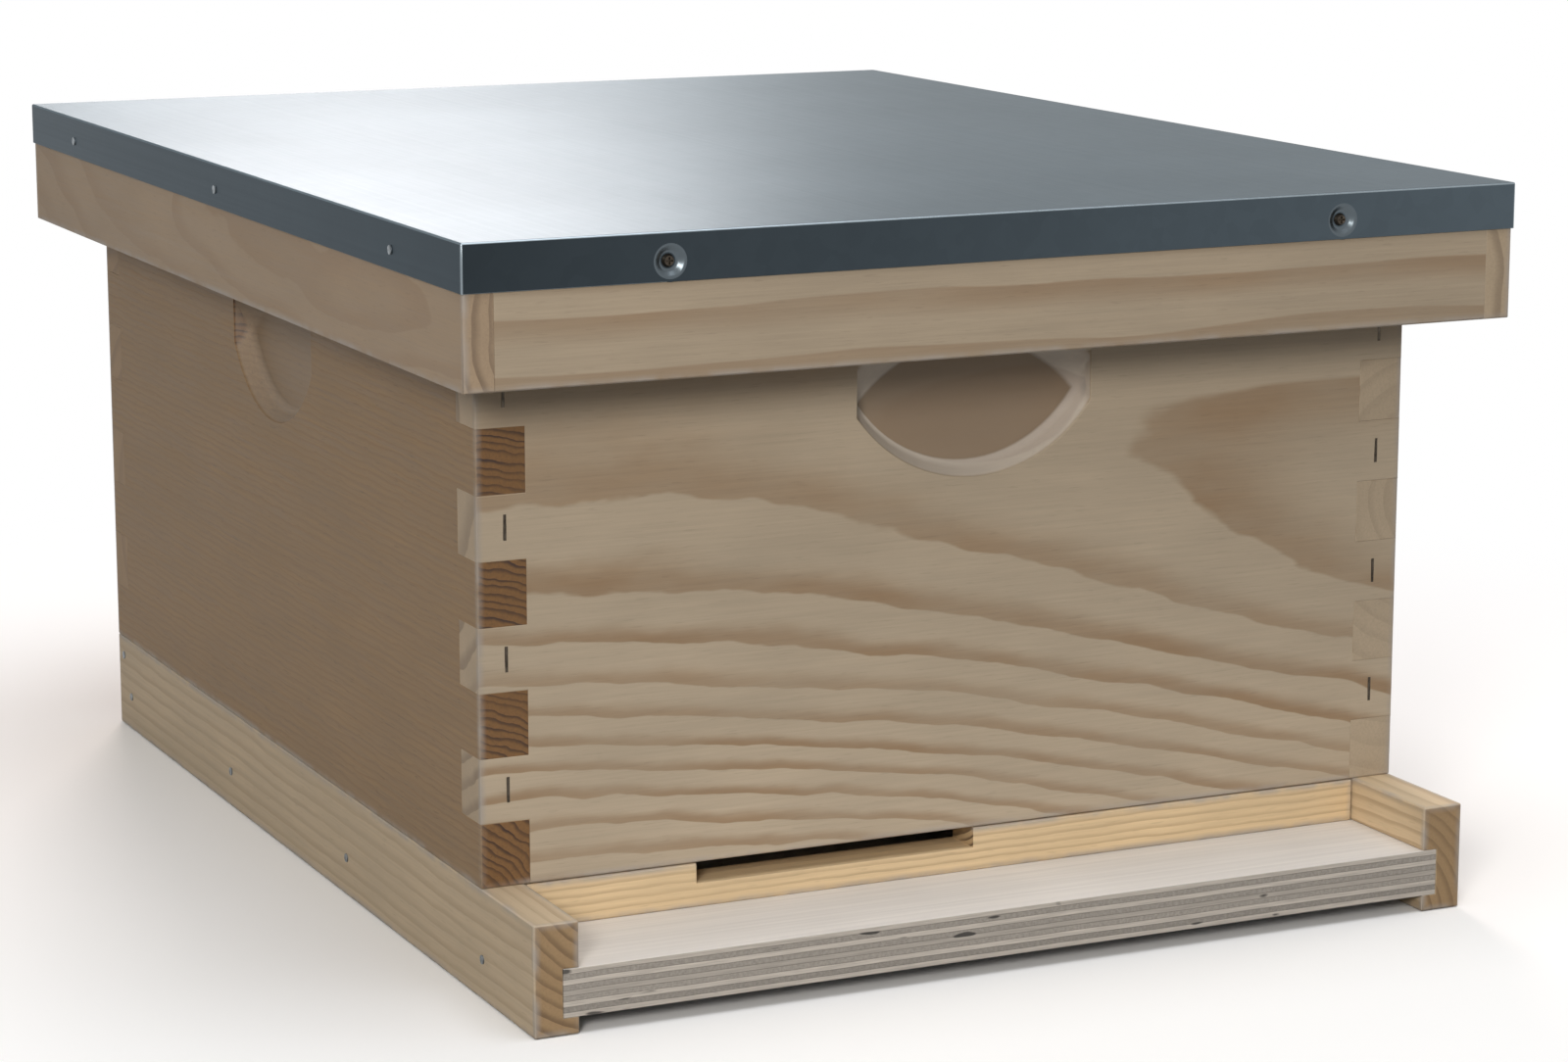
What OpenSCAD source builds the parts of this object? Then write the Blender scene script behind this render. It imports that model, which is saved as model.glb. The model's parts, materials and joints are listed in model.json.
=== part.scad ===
// Beehive with one deep brood box, a grooved floor, ten hanging frames, an inner cover
// and a telescoping lid with a folded metal cover.
// Millimetres, +Z up, front towards -Y. The origin is the middle of the hive's footprint,
// in the plane that the floor rails stand on.

/* [Brood box] */
// Outside width of the box
box_w = 430; // [300:1:520]
// Outside length of the box, front to rear
box_d = 515; // [400:1:620]
// Height of the box
box_h = 240; // [200:1:300]
// Thickness of the four boards
board_t = 21; // [18:0.5:25]
// Number of fingers in each corner joint, an odd number
finger_n = 9; // [5:2:13]
// Depth of the frame rebate, measured down from the top edge
rebate_h = 18; // [14:0.5:24]
// Width of the frame rebate, measured into the board
rebate_w = 10; // [8:0.5:12]

/* [Handholds] */
// Length of a handhold between its two points
hold_len = 109; // [80:1:130]
// Height of a handhold at its middle
hold_h = 57; // [30:1:70]
// Depth of a handhold
hold_depth = 10; // [6:0.5:12]
// How far the lower wall of a handhold slopes outwards
hold_slope = 6.5; // [2:0.5:8]
// How far the upper corners of a handhold slope outwards
hold_corner_slope = 16; // [8:0.5:20]
// How far the middle of a handhold's upper wall slopes outwards
hold_grip_slope = 2; // [1:0.5:6]
// Distance from the top edge of the box down to the points of a handhold
hold_drop = 61; // [50:1:120]
// Sideways offset of the front and rear handholds
hold_shift = 6; // [-20:1:20]
// Offset of the side handholds along the box
hold_side_shift = -5; // [-20:1:20]

/* [Floor] */
// Thickness of the floor rails
rail_t = 19; // [16:0.5:24]
// How far the rails and the landing board reach out in front of the box
porch_len = 56; // [30:1:90]
// Height of the rails below the floor board
rail_foot = 7; // [5:0.5:20]
// Thickness of the floor board
ply_t = 20; // [12:0.5:25]
// Height of the rails above the floor board
ply_drop = 19; // [16:0.5:25]
// Depth of the groove that holds the floor board
groove_d = 7; // [4:0.5:9]
// Thickness of the rail that closes the rear of the floor
rear_rail_t = 19; // [12:0.5:25]

/* [Entrance block] */
// Thickness of the entrance block, front to rear
entrance_t = 19; // [12:0.5:25]
// Width of the entrance notch
notch_w = 128; // [40:1:200]
// Height of the entrance notch
notch_h = 9; // [7:0.5:12]
// Distance from the left side of the box to the notch
notch_x = 94; // [40:1:110]

/* [Frames] */
// Number of frames
frame_n = 10; // [8:1:10]
// Space between the outer frames and the side boards
frame_side = 14.5; // [8:0.5:20]
// Space between the shoulders of neighbouring frames
frame_play = 1; // [0.5:0.1:3]
// How far the shoulders of an end bar stand out past its lower part
shoulder_out = 3.5; // [2:0.5:5]
// Space between the top bars of neighbouring frames
bee_way = 9; // [6:0.5:12]
// Thickness of an end bar
end_bar_t = 9.5; // [8:0.5:12]
// Height of the shoulders of an end bar, measured down from the top of the frame
shoulder_h = 95; // [60:1:120]
// Height of the top bar
top_bar_h = 19; // [16:0.5:22]
// Height of the lugs at the ends of the top bar
lug_h = 9.5; // [8:0.5:11]
// Width and height of the bottom bar
bottom_bar = [19, 9]; // [6:0.5:20]
// Thickness of the foundation sheet
foundation_t = 1.6; // [1:0.1:3]
// Depth of the grooves that hold the foundation sheet
foundation_in = 3; // [2:0.5:5]
// Space between the frames and the front and rear boards
bee_end = 8; // [6:0.5:10]
// Space between the bottom of the frames and the bottom of the box
bee_bottom = 2; // [1:0.5:6]

/* [Inner cover] */
// Thickness of the inner cover's rim
inner_t = 17; // [14:0.5:22]
// Width of the inner cover's rim
inner_rim_w = 24; // [18:1:40]
// Thickness of the inner cover's panel
inner_panel_t = 6; // [4:0.5:8]
// Height of the panel above the underside of the rim
inner_panel_z = 5; // [3:0.5:6]
// Length and width of the hole in the panel
inner_hole = [100, 40]; // [20:1:120]

/* [Lid] */
// Space between the lid's rim and the box at each side
lid_play = 3; // [2:0.5:12]
// Space between the lid's rim and the box at the front and rear
lid_end_play = 28; // [3:0.5:35]
// How far the lid hangs down over the box
lid_drop = 31; // [15:1:40]
// Thickness of the lid's rim boards
lid_rim_t = 19; // [15:0.5:24]
// Thickness of the end grain that shows at the lid's corners
lid_tongue = 12.5; // [8:0.5:14]
// Thickness of the lid's top board
lid_board_t = 9; // [6:0.5:12]
// Thickness of the metal sheet
sheet_t = 0.8; // [0.5:0.1:1.2]
// Height of the folded edge of the metal sheet
flange_h = 19.5; // [16:0.5:28]

/* [Fastenings] */
// Distance from the lid's sides to the sunk screws
screw_inset = 85; // [50:1:120]
// Height of the screws and nails above the lower side of the folded edge
screw_up = 7.9; // [7.5:0.1:9]
// Radius of the dish that a sunk screw pulls into the sheet
dish_r = 7; // [5:0.5:7]
// Depth of that dish
dish_depth = 2.6; // [1.5:0.1:3]
// Length of the corner staples
staple_len = 32; // [26:1:38]
// Width of the crown of a corner staple
staple_w = 10.5; // [8:0.5:12]
// Distance from the corner of the box to the staples
staple_inset = 12; // [8:0.5:14]

/* [Hidden] */
FRAME_PARTS = ["top_bar", "bars", "foundation"];
FRAME_NODES = [for (i = [1:frame_n], p = FRAME_PARTS) frame_name(i, p)];

$fn = 48;
pine = "#c9ae84";
pine_pale = "#d8c39c";
plywood = "#a8977c";
steel = "#8d979d";
zinc = "#b4bcc0";
wax = "#d9a441";

// Clearances
slide_gap = 0.5;     // entrance block to the rails, each side
lift_gap = 0.4;      // entrance block to the box above it
joint_gap = 0.1;     // bottom bar to the notches in the end bars
groove_gap = 0.2;    // floor board to the walls of its groove
nail_gap = 0.05;     // nail shank to the wall of its hole
lug_gap = 3;         // end of a top bar to the frame rest
side_gap = 0.3;      // foundation sheet to the bottom of its grooves
cover_gap = 0.1;     // pressed dish to the wood behind it
over = 1;            // how far a cutter runs past the face that it opens

// Levels
ply_top = rail_foot + ply_t;
rail_h = ply_top + ply_drop;
box_z = rail_h;
box_top = box_z + box_h;
frame_bottom = box_z + bee_bottom;
inner_top = box_top + inner_t;
lid_z = box_top - lid_drop;
lid_top = inner_top + lid_board_t;
cover_top = lid_top + sheet_t;

// Places across and along the hive
lid_side = lid_rim_t + lid_play;
lid_end = lid_rim_t + lid_end_play;
front_reach = max(porch_len, lid_end + sheet_t);
front_y = front_reach - (front_reach + box_d + lid_end + sheet_t) / 2;
rear_y = front_y + box_d;
mid_y = (front_y + rear_y) / 2;
side_x = box_w / 2;
inner_x = side_x - board_t;
inner_d = box_d - 2 * board_t;
finger_h = box_h / finger_n;
lid_w = box_w + 2 * lid_side;
lid_d = box_d + 2 * lid_end;
ledge_z = box_top - rebate_h;

// Frame rests: a folded strip with an upright back and a foot that the lugs stand on
rest_t = 1;
rest_h = 12;
rest_nail_drop = 3;
rest_nail_r = 0.7;
rest_nail_head_r = 1.5;
rest_nail_n = 4;
lug_z = ledge_z + rest_t;
ledge_back = board_t - rebate_w;
rest_nail_len = ledge_back + rest_t - 4;

// Frames. They share the width inside the box, and hang by their lugs from the rests.
frame_pitch = 2 * (inner_x - frame_side + frame_play / 2) / frame_n;
shoulder_w = frame_pitch - frame_play;
end_bar_w = shoulder_w - 2 * shoulder_out;
top_bar_w = frame_pitch - bee_way;
hang_top = lug_z + lug_h;
top_bar_z = hang_top - top_bar_h;
body_len = inner_d - 2 * bee_end;
lug_len = (box_d - body_len) / 2 - (ledge_back + rest_t + lug_gap);
bar_len = body_len + 2 * lug_len;
fork_in = 2.5;
fork_w = top_bar_w - 2 * fork_in;
fork_h = top_bar_h - 3;
taper_h = 12;
bars_h = hang_top - frame_bottom;
fork_z = bars_h - top_bar_h;
sheet_z = frame_bottom + bottom_bar[1] - foundation_in;
sheet_y = mid_y - body_len / 2 + end_bar_t - foundation_in;
sheet_len = body_len - 2 * (end_bar_t - foundation_in);

// Nails and screws
nail_r = 0.9;
nail_head_r = 1.9;
nail_head_t = 0.5;
rail_nail_len = 32;
rail_nail_n = 4;
cover_nail_len = 17;
cover_nail_n = 3;
cover_nail_inset = 77;
screw_r = 1.5;
screw_len = 16;
screw_head_r = 2.7;
screw_head_t = 1.6;
cross_w = 0.7;
cross_len = 3;
cross_depth = 0.8;
dish_floor_r = 3.2;

// Corner staples
wire_t = 1.2;
crown_sink = 0.9;
crown_proud = 0.1;

function frame_name(i, part) = str("frame_", i < 10 ? "0" : "", i, "_", part);
function frame_x(i) = (i - (frame_n + 1) / 2) * frame_pitch;

// A block given by its lowest corner and its size
module block(low, size) {
    translate(low) cube(size);
}

// A block centred on X, given by its width and its lowest Y and Z
module centred(width, y, z, depth, height) {
    block([-width / 2, y, z], [width, depth, height]);
}

// Repeats its children mirrored to the other side of the hive
module both_sides() {
    children();
    mirror([1, 0, 0]) children();
}

// Repeats its children at the front and, turned half round, at the rear of the box
module both_ends() {
    children();
    turned_to_rear() children();
}

module turned_to_rear() {
    translate([0, 2 * mid_y, 0]) mirror([0, 1, 0]) children();
}

// A nail along +X with the underside of its head at the origin, or its hole
module nail(r, length, head_r, head_t, gap = 0) {
    rotate([0, 90, 0]) {
        cylinder(r = r + gap, h = length + gap, $fn = 24);
        if (gap == 0) translate([0, 0, -head_t]) cylinder(r = head_r, h = head_t, $fn = 32);
    }
}

// ---------------------------------------------------------------- brood box

// Cutters for the gaps between fingers at both ends of a board that runs along X
module finger_gaps(length, depth, first) {
    for (k = [first:2:finger_n - 1], s = [-1, 1])
        translate([s * (length / 2 + over / 2 - depth / 2), 0, box_z + k * finger_h])
            translate([-(depth + over) / 2, -over, k == 0 ? -over : 0])
                cube([depth + over, board_t + 2 * over,
                      finger_h + (k == 0 ? over : 0) + (k == finger_n - 1 ? over : 0)]);
}

// Handhold cut into a face at y = 0 that looks towards -Y: an arc below its two points, upright
// sides and a flat grip above them, and a floor shaped like an eye
module handhold() {
    half = hold_h / 2;
    r = (pow(hold_len / 2, 2) + pow(half, 2)) / (2 * half);
    reach = hold_depth + over;
    intersection() {
        translate([0, -over, r - half]) rotate([-90, 0, 0])
            cylinder(r1 = r + hold_slope * over / hold_depth, r2 = r - hold_slope, h = reach, $fn = 96);
        translate([0, -over, half - r]) rotate([-90, 0, 0])
            cylinder(r1 = r - hold_grip_slope + hold_corner_slope * reach / hold_depth,
                     r2 = r - hold_grip_slope, h = reach, $fn = 96);
        block([-hold_len / 2, -over, -half], [hold_len, reach, hold_h]);
    }
}

// Crown staple with its crown upright at y = 0 and its legs along +Y
module staple(gap = 0) {
    proud = gap > 0 ? over : crown_proud;
    block([-wire_t / 2, -proud, -staple_w / 2], [wire_t, crown_sink + proud, staple_w]);
    for (s = [-1, 1])
        block([-wire_t / 2, 0, s * (staple_w - wire_t) / 2 - wire_t / 2],
              [wire_t, staple_len, wire_t]);
}

// Every staple at one end of the box
module end_staples(gap = 0) {
    for (k = [1:2:finger_n - 2], s = [-1, 1])
        translate([s * (side_x - staple_inset), front_y, box_z + (k + 0.5) * finger_h]) staple(gap);
}

module end_panel() {
    difference() {
        centred(box_w, front_y, box_z, board_t, box_h);
        translate([0, front_y, 0]) finger_gaps(box_w, board_t, 0);
        centred(2 * inner_x, front_y + ledge_back, ledge_z, rebate_w + over, rebate_h + over);
        translate([hold_shift, front_y, box_top - hold_drop]) handhold();
        end_staples(over);
        rest_nail_set(nail_gap);
    }
}

module front_panel() {
    color(pine) end_panel();
}

module rear_panel() {
    color(pine) turned_to_rear() end_panel();
}

module left_panel() {
    color(pine) difference() {
        translate([-side_x, mid_y, 0]) rotate([0, 0, -90]) difference() {
            centred(box_d, 0, box_z, board_t, box_h);
            finger_gaps(box_d, board_t, 1);
            translate([-hold_side_shift, 0, box_top - hold_drop]) handhold();
        }
        both_ends() end_staples(over);
    }
}

module right_panel() {
    mirror([1, 0, 0]) left_panel();
}

module corner_staples() {
    color(steel) both_ends() end_staples();
}

module rest_strip() {
    length = 2 * inner_x - 1;
    back_y = front_y + ledge_back;
    difference() {
        union() {
            centred(length, back_y, ledge_z, rest_t, rest_h);
            centred(length, back_y, ledge_z, rebate_w, rest_t);
        }
        rest_nail_set(nail_gap);
    }
}

// Nails through the upright of the front frame rest, or their holes
module rest_nail_set(gap = 0) {
    step = 2 * inner_x / rest_nail_n;
    for (k = [0:rest_nail_n - 1])
        translate([(k - (rest_nail_n - 1) / 2) * step, front_y + ledge_back + rest_t,
                   ledge_z + rest_h - rest_nail_drop])
            rotate([0, 0, -90]) nail(rest_nail_r, rest_nail_len, rest_nail_head_r, nail_head_t, gap);
}

module rest_front() {
    color(zinc) rest_strip();
}

module rest_rear() {
    color(zinc) turned_to_rear() rest_strip();
}

module rest_nails() {
    color(steel) both_ends() rest_nail_set();
}

// ---------------------------------------------------------------- floor

rail_len = porch_len + box_d;
rail_nail_z = rail_foot + ply_t / 2;

// Nails through the left rail into the floor board and the rear rail, or their holes
module rail_nail_set(gap = 0) {
    for (k = [0:rail_nail_n - 1])
        translate([-side_x, front_y + k * (box_d - board_t) / (rail_nail_n - 1), rail_nail_z])
            nail(nail_r, rail_nail_len, nail_head_r, nail_head_t, gap);
    translate([-side_x, rear_y - rear_rail_t / 2, ply_top + ply_drop / 2])
        nail(nail_r, rail_nail_len, nail_head_r, nail_head_t, gap);
}

module rail_left() {
    color(pine) difference() {
        block([-side_x, front_y - porch_len, 0], [rail_t, rail_len, rail_h]);
        block([rail_t - side_x - groove_d, front_y - porch_len - over, rail_foot],
              [groove_d + over, rail_len + 2 * over, ply_t + groove_gap]);
        rail_nail_set(nail_gap);
    }
}

module rail_right() {
    mirror([1, 0, 0]) rail_left();
}

module rear_rail() {
    color(pine) difference() {
        centred(box_w - 2 * rail_t, rear_y - rear_rail_t, ply_top, rear_rail_t, ply_drop);
        both_sides() rail_nail_set(nail_gap);
    }
}

module floor_board() {
    color(plywood) difference() {
        centred(box_w - 2 * (rail_t - groove_d + groove_gap), front_y - porch_len, rail_foot,
                rail_len, ply_t);
        both_sides() rail_nail_set(nail_gap);
    }
}

module floor_nails() {
    color(steel) both_sides() rail_nail_set();
}

module entrance_block() {
    height = ply_drop - lift_gap;
    color(pine_pale) difference() {
        centred(box_w - 2 * (rail_t + slide_gap), front_y, ply_top, entrance_t, height);
        block([notch_x - side_x, front_y - over, box_z - notch_h],
              [notch_w, entrance_t + 2 * over, notch_h + over]);
    }
}

// ---------------------------------------------------------------- frames

// The slot that the foundation sheet stands in, from the bottom bar up into the top bar
module sheet_slot() {
    centred(foundation_t, sheet_y, sheet_z, sheet_len, top_bar_z + foundation_in - sheet_z);
}

// What the lug and the fork of an end bar take out of the front end of a top bar
module top_bar_end() {
    centred(top_bar_w + 2 * over, mid_y - bar_len / 2 - over, top_bar_z - over,
            lug_len + over, top_bar_h - lug_h + over);
    both_sides()
        block([fork_w / 2, mid_y - body_len / 2, top_bar_z - over],
              [fork_in + over, end_bar_t, fork_h + over]);
}

module frame_top_bar() {
    color(pine_pale) difference() {
        centred(top_bar_w, mid_y - bar_len / 2, top_bar_z, bar_len, top_bar_h);
        both_ends() top_bar_end();
        sheet_slot();
    }
}

// Right half of an end bar's outline: a narrow foot, wide shoulders and one tine of the fork
END_BAR_SIDE = [
    [end_bar_w / 2, 0], [end_bar_w / 2, bars_h - shoulder_h - taper_h],
    [shoulder_w / 2, bars_h - shoulder_h], [shoulder_w / 2, fork_z + fork_h],
    [fork_w / 2, fork_z + fork_h], [fork_w / 2, fork_z]];

module end_bar() {
    left = [for (k = [len(END_BAR_SIDE) - 1:-1:0]) [-END_BAR_SIDE[k][0], END_BAR_SIDE[k][1]]];
    difference() {
        translate([0, mid_y - body_len / 2 + end_bar_t, frame_bottom]) rotate([90, 0, 0])
            linear_extrude(end_bar_t) polygon(concat(END_BAR_SIDE, left));
        centred(bottom_bar[0] + 2 * joint_gap, mid_y - body_len / 2 - over, frame_bottom - over,
                end_bar_t + 2 * over, bottom_bar[1] + over + joint_gap);
    }
}

// The two end bars and the bottom bar of a frame
module frame_bars() {
    color(pine_pale) difference() {
        union() {
            both_ends() end_bar();
            centred(bottom_bar[0], mid_y - body_len / 2, frame_bottom, body_len, bottom_bar[1]);
        }
        sheet_slot();
    }
}

module frame_foundation() {
    length = sheet_len - 2 * side_gap;
    color(wax)
        centred(foundation_t, mid_y - length / 2, sheet_z, length,
                top_bar_z + foundation_in - side_gap - sheet_z);
}

module frame_part(part) {
    if (part == "top_bar") frame_top_bar();
    if (part == "bars") frame_bars();
    if (part == "foundation") frame_foundation();
}

// ---------------------------------------------------------------- inner cover

// Cutter for the groove around the panel, a stretch of the panel's own outline
module inner_panel_outline(gap) {
    w = box_w - inner_rim_w + gap;
    d = box_d - inner_rim_w + gap;
    centred(w, mid_y - d / 2, box_top + inner_panel_z, d, inner_panel_t + gap);
}

module inner_panel() {
    r = inner_hole[1] / 2;
    color(plywood) difference() {
        inner_panel_outline(0);
        translate([0, mid_y, box_top]) {
            for (s = [-1, 1])
                translate([0, s * (inner_hole[0] / 2 - r), 0]) cylinder(r = r, h = inner_t, $fn = 64);
            centred(inner_hole[1], r - inner_hole[0] / 2, 0, inner_hole[0] - 2 * r, inner_t);
        }
    }
}

module inner_rim_end() {
    color(pine_pale) difference() {
        centred(box_w, front_y, box_top, inner_rim_w, inner_t);
        inner_panel_outline(groove_gap);
    }
}

module inner_rim_side() {
    color(pine_pale) difference() {
        block([-side_x, front_y + inner_rim_w, box_top],
              [inner_rim_w, box_d - 2 * inner_rim_w, inner_t]);
        inner_panel_outline(groove_gap);
    }
}

module inner_rim_front() {
    inner_rim_end();
}

module inner_rim_rear() {
    turned_to_rear() inner_rim_end();
}

module inner_rim_left() {
    inner_rim_side();
}

module inner_rim_right() {
    mirror([1, 0, 0]) inner_rim_side();
}

// ---------------------------------------------------------------- lid

lid_front_y = mid_y - lid_d / 2;
screw_z = cover_top - flange_h + screw_up;
rim_h = inner_top - lid_z;

// The dish that a sunk screw pulls into the folded edge, grown by the thickness given
module dish(grow = 0) {
    rise = (dish_r - dish_floor_r) / dish_depth;
    depth = dish_depth + grow + over;
    translate([0, -over, 0]) rotate([-90, 0, 0])
        cylinder(r1 = dish_r + grow + rise * over, r2 = dish_floor_r + grow, h = depth, $fn = 64);
}

// Repeats its children at the sunk screws in the lid's front edge
module at_screws() {
    for (s = [-1, 1])
        translate([s * (lid_w / 2 - screw_inset), lid_front_y - sheet_t, screw_z]) children();
}

// One sunk screw along +Y, or its hole
module screw(gap = 0) {
    translate([0, dish_depth, 0]) rotate([-90, 0, 0]) {
        cylinder(r = screw_r + gap, h = screw_len + gap, $fn = 32);
        if (gap == 0) translate([0, 0, -screw_head_t]) difference() {
            cylinder(r1 = screw_head_r * 0.7, r2 = screw_head_r, h = screw_head_t, $fn = 32);
            for (turn = [0, 90]) rotate([0, 0, turn])
                block([-cross_len / 2, -cross_w / 2, -over], [cross_len, cross_w, over + cross_depth]);
        }
    }
}

// What the screws and the pressed sheet take out of the wood at both ends of the lid
module dish_pockets() {
    both_ends() at_screws() {
        dish(sheet_t + cover_gap);
        screw(nail_gap);
    }
}

// Nails through the folded edge into the left rim board, or their holes
module cover_nail_set(gap = 0) {
    step = (lid_d - 2 * cover_nail_inset) / (cover_nail_n - 1);
    for (k = [0:cover_nail_n - 1])
        translate([-lid_w / 2 - sheet_t, lid_front_y + cover_nail_inset + k * step, screw_z])
            nail(nail_r, cover_nail_len, nail_head_r, nail_head_t, gap);
}

module lid_rim_end() {
    color(pine) difference() {
        centred(lid_w - 2 * lid_tongue, lid_front_y, lid_z, lid_rim_t, rim_h);
        dish_pockets();
    }
}

module lid_rim_front() {
    lid_rim_end();
}

module lid_rim_rear() {
    turned_to_rear() lid_rim_end();
}

module lid_rim_left() {
    color(pine) difference() {
        block([-lid_w / 2, lid_front_y, lid_z], [lid_rim_t, lid_d, rim_h]);
        both_ends() block([lid_tongue - lid_w / 2, lid_front_y - over, lid_z - over],
                          [lid_rim_t, lid_rim_t + over, rim_h + 2 * over]);
        cover_nail_set(nail_gap);
    }
}

module lid_rim_right() {
    mirror([1, 0, 0]) lid_rim_left();
}

module lid_board() {
    color(plywood) difference() {
        centred(lid_w, lid_front_y, inner_top, lid_d, lid_board_t);
        dish_pockets();
        both_sides() cover_nail_set(nail_gap);
    }
}

// The folded sheet: a flat top with four turned-down edges
module metal_cover() {
    w = lid_w + 2 * sheet_t;
    d = lid_d + 2 * sheet_t;
    y = lid_front_y - sheet_t;
    color(zinc) difference() {
        union() {
            difference() {
                centred(w, y, cover_top - flange_h, d, flange_h);
                centred(lid_w, lid_front_y, cover_top - flange_h - over, lid_d,
                        flange_h - sheet_t + over);
            }
            both_ends() at_screws() intersection() {
                dish(sheet_t);
                block([-2 * dish_r, 0, -flange_h], [4 * dish_r, 2 * dish_r, 2 * flange_h]);
            }
        }
        both_ends() at_screws() {
            dish();
            screw(nail_gap);
        }
        both_sides() cover_nail_set(nail_gap);
    }
}

module cover_screws() {
    color(steel) both_ends() at_screws() screw();
}

module cover_nails() {
    color(steel) both_sides() cover_nail_set();
}

// ---------------------------------------------------------------- nodes

rail_left();
rail_right();
rear_rail();
floor_board();
floor_nails();
entrance_block();
front_panel();
rear_panel();
left_panel();
right_panel();
rest_front();
rest_rear();
rest_nails();
corner_staples();
for (i = [1:frame_n], part = FRAME_PARTS)
    translate([frame_x(i), 0, 0]) frame_part(part);
inner_panel();
inner_rim_front();
inner_rim_rear();
inner_rim_left();
inner_rim_right();
lid_rim_front();
lid_rim_rear();
lid_rim_left();
lid_rim_right();
lid_board();
metal_cover();
cover_screws();
cover_nails();
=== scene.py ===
"""Langstroth hive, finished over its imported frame.

Each board, sheet and fastener of the hive gets its eased edges and its finish: planed pine cut
from its own place in a log, birch plywood, zinc-coated sheet, steel wire and wax. A stage
operator then sets the floor, the lamps and the camera round it.
"""

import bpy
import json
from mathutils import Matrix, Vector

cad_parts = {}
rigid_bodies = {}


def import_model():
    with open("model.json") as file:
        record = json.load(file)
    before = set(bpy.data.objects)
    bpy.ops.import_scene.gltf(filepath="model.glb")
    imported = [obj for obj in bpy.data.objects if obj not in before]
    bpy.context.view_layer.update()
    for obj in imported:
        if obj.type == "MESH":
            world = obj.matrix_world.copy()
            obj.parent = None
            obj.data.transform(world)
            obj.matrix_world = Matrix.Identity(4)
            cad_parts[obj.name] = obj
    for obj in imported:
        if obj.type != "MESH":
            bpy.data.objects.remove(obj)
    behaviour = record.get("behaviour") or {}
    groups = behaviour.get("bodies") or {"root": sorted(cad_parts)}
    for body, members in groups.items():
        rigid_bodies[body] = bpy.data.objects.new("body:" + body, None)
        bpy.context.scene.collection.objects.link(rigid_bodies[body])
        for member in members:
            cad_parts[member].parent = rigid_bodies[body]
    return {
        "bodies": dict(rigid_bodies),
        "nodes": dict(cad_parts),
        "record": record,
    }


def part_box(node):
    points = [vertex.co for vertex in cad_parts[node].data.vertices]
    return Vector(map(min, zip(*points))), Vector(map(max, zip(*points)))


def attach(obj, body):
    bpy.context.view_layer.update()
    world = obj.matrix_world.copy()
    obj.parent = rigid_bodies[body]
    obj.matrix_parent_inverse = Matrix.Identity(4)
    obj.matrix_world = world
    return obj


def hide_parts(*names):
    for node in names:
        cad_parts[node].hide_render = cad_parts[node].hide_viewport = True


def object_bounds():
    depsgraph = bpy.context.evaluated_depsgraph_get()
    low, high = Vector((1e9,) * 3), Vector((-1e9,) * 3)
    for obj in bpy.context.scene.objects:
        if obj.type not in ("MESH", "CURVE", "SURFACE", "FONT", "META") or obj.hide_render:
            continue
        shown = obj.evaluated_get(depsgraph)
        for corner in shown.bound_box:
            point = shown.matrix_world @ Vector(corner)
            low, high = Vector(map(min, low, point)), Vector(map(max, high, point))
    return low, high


bl_info = {
    "name": "Langstroth Hive",
    "version": (1, 0, 0),
    "blender": (4, 5, 0),
    "location": "3D View > Sidebar > Hive",
    "description": "Finishes a Langstroth hive in planed pine, plywood, zinc-coated sheet and wax",
    "category": "Add Mesh",
}

import json
import math
from typing import NamedTuple

import bmesh
import bpy
from bpy.props import FloatProperty, FloatVectorProperty, PointerProperty
from mathutils import Vector

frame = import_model()
CAD_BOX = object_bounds()

MM = 0.001
BODY_OF = {node: body for body, nodes in frame["record"]["behaviour"]["bodies"].items()
           for node in nodes}
FRAMES = sorted(body for body in frame["bodies"] if body.startswith("frame_"))

# Easing the edges.
SAME_POINT = 0.001 * MM            # corners nearer than this are one corner
SAME_PLANE = math.radians(0.5)     # faces nearer in angle than this are one flat face
SHARP = math.radians(35)           # an edge turned at least this far is a sharp one
SHORTEST = 3 * MM                  # shorter edges stay as they are
ON_SIDE = 0.1 * MM                 # an edge this near an outline's side lies on it

# A Mix node's two colour inputs and its colour output, which share their names with others.
MIX_A, MIX_B, MIXED = 6, 7, 2


def linear(colour):
    """The linear values of an sRGB hex colour."""
    parts = [int(colour[i:i + 2], 16) / 255 for i in (1, 3, 5)]
    return [p / 12.92 if p <= 0.04045 else ((p + 0.055) / 1.055) ** 2.4 for p in parts]


def add(tree, kind, inputs=(), out=0, **settings):
    """Add a shader node; each input is linked if it is given a socket, and set if not."""
    node = tree.nodes.new("ShaderNode" + kind)
    for name, value in settings.items():
        setattr(node, name, value)
    for key, value in inputs.items() if isinstance(inputs, dict) else enumerate(inputs):
        if isinstance(value, bpy.types.NodeSocket):
            tree.links.new(value, node.inputs[key])
        elif value is not None:
            node.inputs[key].default_value = value
    return node.outputs if out is None else node.outputs[out]


def new_material(name):
    """An empty material and its node tree."""
    material = bpy.data.materials.new(name)
    material.use_nodes = True
    material.node_tree.nodes.clear()
    return material, material.node_tree


# ---------------------------------------------------------------- sizes and colours


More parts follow.
